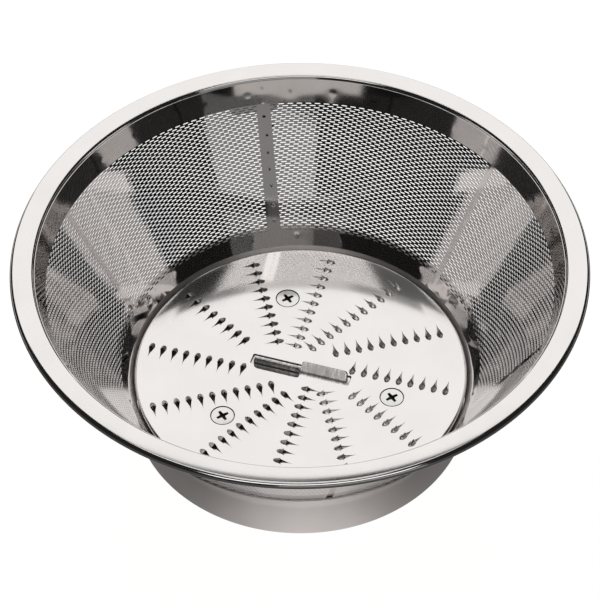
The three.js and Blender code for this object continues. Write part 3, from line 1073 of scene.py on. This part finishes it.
def hex_nut():
    turns = np.linspace(0, 2 * math.pi, 96, endpoint=False)
    levels = [nut_low + nut_chamfer * k / 4 for k in range(5)]
    levels += [nut_high - nut_chamfer * k / 4 for k in range(4, -1, -1)]
    outer, inner = [], []
    for height in levels:
        room = min(height - nut_low, nut_high - height)
        limit = nut_flats / 2 - nut_corner_cut + room * nut_slant
        reach = [min(prism_radius(t, nut_flats), limit) for t in turns]
        bore = screw_shank + nut_thread_gap + max(0.0, nut_bore_chamfer - room)
        outer.append(loop(reach, turns, height))
        inner.append(loop([bore] * len(turns), turns, height))
    return patch(np.array(outer), np.array(inner), ring=True)


for number, (x, y) in enumerate(screw_places, 1):
    for name, node, shell in (("washer", "spring_washer", spring_washer()), ("nut", "hex_nut", hex_nut())):
        moved = (shell[0] + (x, y, 0), shell[1])
        piece(f"{name}_{number}", joined([moved]), plated, [f"{node}_{number}"], crease=30)

# %% [markdown]
# ## The drive hub
# Under the floor sits a cast hub: a flange, a ribbed ring and a boss with a six-sided steel bush that
# the machine's coupling drives. Flange and ribs are plates of even height, and the boss is turned.

# %% Hub
hub_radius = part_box("drive_hub")[1].x / mm
hub_top, hub_bottom = top_of("drive_hub"), bottom_of("drive_hub")
hub_flange = 3.0
hub_rim_width, hub_rim_height = 2.5, 5.0
hub_rib_half = 1.2
boss_radius = 15.0
bush_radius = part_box("drive_bush")[1].x / mm
pocket_corner = 1.8
outer_clear, inner_clear = 0.12, 0.2  # angles that the pocket's corners take up, in radians
boss_bore_edge, boss_edge = 0.5, 1.5
web_lap, boss_lap = 0.05, 0.1
rib_azimuths = [math.atan2(y, x) + math.pi / 6 for x, y in screw_places]
rib_azimuths += [azimuth + math.pi / 3 for azimuth in rib_azimuths]
flange_bottom = hub_top - hub_flange
rim_bottom = flange_bottom - hub_rim_height


def pocket(azimuth):
    """The opening between two ribs, the rim and the boss. It starts beside the rib at an azimuth."""
    inner, outer = boss_radius, hub_radius - hub_rim_width
    start = [math.asin(hub_rib_half / r) for r in (inner, outer)]
    end = [math.pi / 3 - s for s in start]
    corners = [(outer, t, 0) for t in np.linspace(start[1] + outer_clear, end[1] - outer_clear, 9)]
    corners = [(outer, start[1], pocket_corner), *corners, (outer, end[1], pocket_corner)]
    corners += [(inner, end[0], pocket_corner)]
    corners += [(inner, t, 0) for t in np.linspace(end[0] - inner_clear, start[0] + inner_clear, 5)]
    corners += [(inner, start[0], pocket_corner)]
    flat = [(r * math.cos(t + azimuth), r * math.sin(t + azimuth), fillet) for r, t, fillet in corners]
    return rounded(flat)


def hub_shells():
    bore_radius, boss_top = bush_radius + seat_gap, rim_bottom + boss_lap
    bore = circle(bore_radius, 72)
    screws = [circle(screw_shank + seat_gap, 32, place) for place in screw_places]
    flange = triangulated(circle(hub_radius, 240), screws)
    web = triangulated(circle(hub_radius, 240), [bore, *[pocket(a) for a in rib_azimuths]])
    boss = turned(rounded([
        (bore_radius, hub_bottom, boss_bore_edge),
        (boss_radius, hub_bottom, boss_edge),
        (boss_radius, boss_top, 0),
        (bore_radius, boss_top, 0),
    ]), 144)
    return [
        thick(*flange, at_height(hub_top), at_height(flange_bottom)),
        thick(*web, at_height(flange_bottom + web_lap), at_height(rim_bottom)),
        boss,
    ]


piece("hub", joined(hub_shells()), cast, ["drive_hub"], crease=30)

# %% Bush
bush_low, bush_high = bottom_of("drive_bush"), top_of("drive_bush")
bush_flats = 11.0
bush_chamfer = 0.4
bush_wall = 0.8


def bush():
    turns = np.linspace(0, 2 * math.pi, 144, endpoint=False)
    outer, inner = [], []
    chamfer = bush_chamfer
    levels = ((bush_low, chamfer), (bush_low + chamfer, 0), (bush_high - chamfer, 0), (bush_high, chamfer))
    for height, cut in levels:
        bores = [min(prism_radius(t, bush_flats) + cut, bush_radius - bush_wall) for t in turns]
        outer.append(loop([bush_radius - cut] * len(turns), turns, height))
        inner.append(loop(bores, turns, height))
    return patch(np.array(outer), np.array(inner), ring=True)


piece("bush", joined([bush()]), plated, ["drive_bush"], crease=30)

# %% [markdown]
# ## The studio
# Polished steel is bright where it mirrors a light and black where it mirrors the dark room, so what
# stands round it makes its looks. The camera sees a white table. The steel sees another one in the
# same place, which glows only round the base and far behind. A curved sheet rises behind the basket
# and bends over it, in strips: white for the rim and the disc, and greys for the wall. A grey card and
# a light box in front give the far wall and the blade their tone.

# %% Table
warm_white = (1.0, 0.99, 0.98)
floor_size = 6.0


def stage_mesh(name, vertices, faces, finish):
    """A piece of the studio. It is no part of the basket, so it does not ride on it."""
    mesh = bpy.data.meshes.new(name)
    mesh.from_pydata(vertices, [], faces)
    mesh.materials.append(finish)
    made = bpy.data.objects.new(name, mesh)
    bpy.context.scene.collection.objects.link(made)
    return made


def table_plane(name, height, finish):
    half = floor_size / 2
    corners = [(half * a, half * b, height) for a, b in ((-1, -1), (1, -1), (1, 1), (-1, 1))]
    return stage_mesh(name, corners, [(0, 1, 2, 3)], finish)


def white_table():
    """White from above, and clear from below, so that the underside can be seen."""
    material = bpy.data.materials.new("table_white")
    tree = Tree(material)
    glow = {"Base Color": (0, 0, 0, 1), "Emission Color": (1.0, 0.995, 0.99, 1), "Emission Strength": 1.0}
    white = tree.node("ShaderNodeBsdfPrincipled", None, glow)
    clear = tree.node("ShaderNodeBsdfTransparent")
    from_below = tree.node("ShaderNodeNewGeometry", output=6)
    either = tree.node("ShaderNodeMixShader", None, {0: from_below, 1: white, 2: clear})
    tree.node("ShaderNodeOutputMaterial", None, {"Surface": either})
    return material


table = table_plane("light_table", 0, white_table())
table.visible_diffuse = table.visible_glossy = table.visible_shadow = table.visible_transmission = False
print("table:", floor_size, "m square")

# %% [markdown]
# The glow round the base is strongest before and behind it, because the base ring mirrors most of it
# there. It ends short of the rim, so that the hem keeps its black lower edge.

# %% Glow on the table
near_end = (0.080, 0.092)
near_glow, near_facing = 0.2, 0.65
far_start = (0.15, 0.5)
far_glow = 0.75
rest_glow = 0.03


def table_glow():
    material = bpy.data.materials.new("light_pool")
    tree = Tree(material)
    place = tree.node("ShaderNodeTexCoord", output=3)
    x, y = (tree.node("ShaderNodeSeparateXYZ", None, {0: place}, k) for k in range(2))
    radius = (x * x + y * y) ** 0.5

    def step(value, limits):
        ramp = {"interpolation_type": "SMOOTHSTEP"}
        return tree.node("ShaderNodeMapRange", ramp, {0: value, 1: limits[0], 2: limits[1], 3: 0.0, 4: 1.0})

    facing = (y * y / (radius * radius)) ** 4
    near = (1 - step(radius, near_end)) * (near_glow + near_facing * facing)
    glow = rest_glow + near + step(y, far_start) * far_glow
    colour = {k: glow * tint for k, tint in enumerate(warm_white)}
    colour = tree.node("ShaderNodeCombineXYZ", None, colour)
    sockets = {"Base Color": (0.1, 0.1, 0.1, 1), "Emission Color": colour, "Emission Strength": 1.0}
    shader = tree.node("ShaderNodeBsdfPrincipled", None, sockets)
    tree.node("ShaderNodeOutputMaterial", None, {"Surface": shader})
    return material


pool = table_plane("light_pool", -0.0005, table_glow())
pool.visible_camera = False
print("glow ends at", near_end, "m")

# %% Room
world = bpy.data.worlds.new("room")
bpy.context.scene.world = world
tree = Tree(world)
to_camera = tree.node("ShaderNodeLightPath")
dim = tree.node("ShaderNodeBackground", None, {"Color": (1, 0.98, 0.96, 1), "Strength": 0.015})
pale = tree.node("ShaderNodeBackground", None, {"Color": (1, 0.995, 0.99, 1)})
either = tree.node("ShaderNodeMixShader", None, {0: to_camera, 1: dim, 2: pale})
tree.node("ShaderNodeOutputWorld", None, {"Surface": either})


# %% Sheet behind and above
def sweep(name, start, end, left, right, glow, radius=1.4, steps=14):
    """A strip of the sheet, of even glow, from one elevation to another in degrees."""
    angles = np.radians(np.linspace(start, end, steps + 1))
    vertices = [(x, radius * math.cos(a), radius * math.sin(a)) for a in angles for x in (left, right)]
    faces = [(2 * k, 2 * k + 1, 2 * k + 3, 2 * k + 2) for k in range(steps)]
    material = bpy.data.materials.new(f"{name}_white")
    tree = Tree(material)
    sockets = {"Base Color": (0, 0, 0, 1), "Emission Color": (*warm_white, 1), "Emission Strength": glow}
    shader = tree.node("ShaderNodeBsdfPrincipled", None, {"Roughness": 0.6, **sockets})
    tree.node("ShaderNodeOutputMaterial", None, {"Surface": shader})
    stage_mesh(name, vertices, faces, material).visible_camera = False


sweep("back_sweep", 1, 57, -0.85, 0.85, 1.0)
sweep("grey_strip", 57, 66, -0.35, 0.03, 0.15)
sweep("upper_strip", 66, 74.5, -0.35, 0.35, 1.4)
sweep("dim_strip", 74.5, 84, -0.35, 0.08, 0.4)
sweep("dim_corner", 74.5, 84, 0.08, 0.35, 0.2)
sweep("top_strip", 84, 100, -0.3, 0.3, 0.9)


# %% Lights in front
def soft_box(name, azimuth, elevation, distance, width, height, glow):
    """A rectangular light of even glow, aimed at the basket from a direction in degrees."""
    a, e = math.radians(azimuth), math.radians(elevation)
    away = Vector((math.cos(a) * math.cos(e), math.sin(a) * math.cos(e), math.sin(e)))
    lamp = bpy.data.lights.new(name, "AREA")
    lamp.shape = "RECTANGLE"
    lamp.size, lamp.size_y = width, height
    lamp.energy = glow * math.pi * width * height
    lamp.color = warm_white
    made = bpy.data.objects.new(name, lamp)
    bpy.context.scene.collection.objects.link(made)
    made.location = away * distance + Vector((0, 0, 0.04))
    made.rotation_mode = "QUATERNION"
    made.rotation_quaternion = away.to_track_quat("Z", "Y")
    made.visible_camera = False
    print(name, "at", [round(v, 2) for v in made.location])


soft_box("front_card", -75.3, 8.7, 0.7, 0.6, 0.27, 0.3)
soft_box("front_box", -88, 47, 1.4, 1.5, 0.5, 1.3)

# %% [markdown]
# ## The camera
# A long lens from well away keeps the ellipses of rim, disc and base true to one another.

# %% Camera
camera = bpy.data.cameras.new("camera")
camera.lens, camera.sensor_width = 192, 36
view = bpy.data.objects.new("camera", camera)
bpy.context.scene.collection.objects.link(view)
yaw, pitch, roll = (math.radians(a) for a in (1.44, 47.47, 0.46))
ahead = Vector((math.sin(yaw) * math.cos(pitch), math.cos(yaw) * math.cos(pitch), -math.sin(pitch)))
level = ahead.cross(Vector((0, 0, 1))).normalized()
down = ahead.cross(level)
right = level * math.cos(roll) + down * math.sin(roll)
turn = Matrix((right, right.cross(ahead), -ahead)).transposed()
view.matrix_world = Matrix.Translation(Vector((-17.7, -702.4, 817.2)) * mm) @ turn.to_4x4()
bpy.context.scene.camera = view
bpy.context.scene.view_settings.view_transform = "Standard"
print("camera at", [round(v / mm, 1) for v in view.matrix_world.translation])
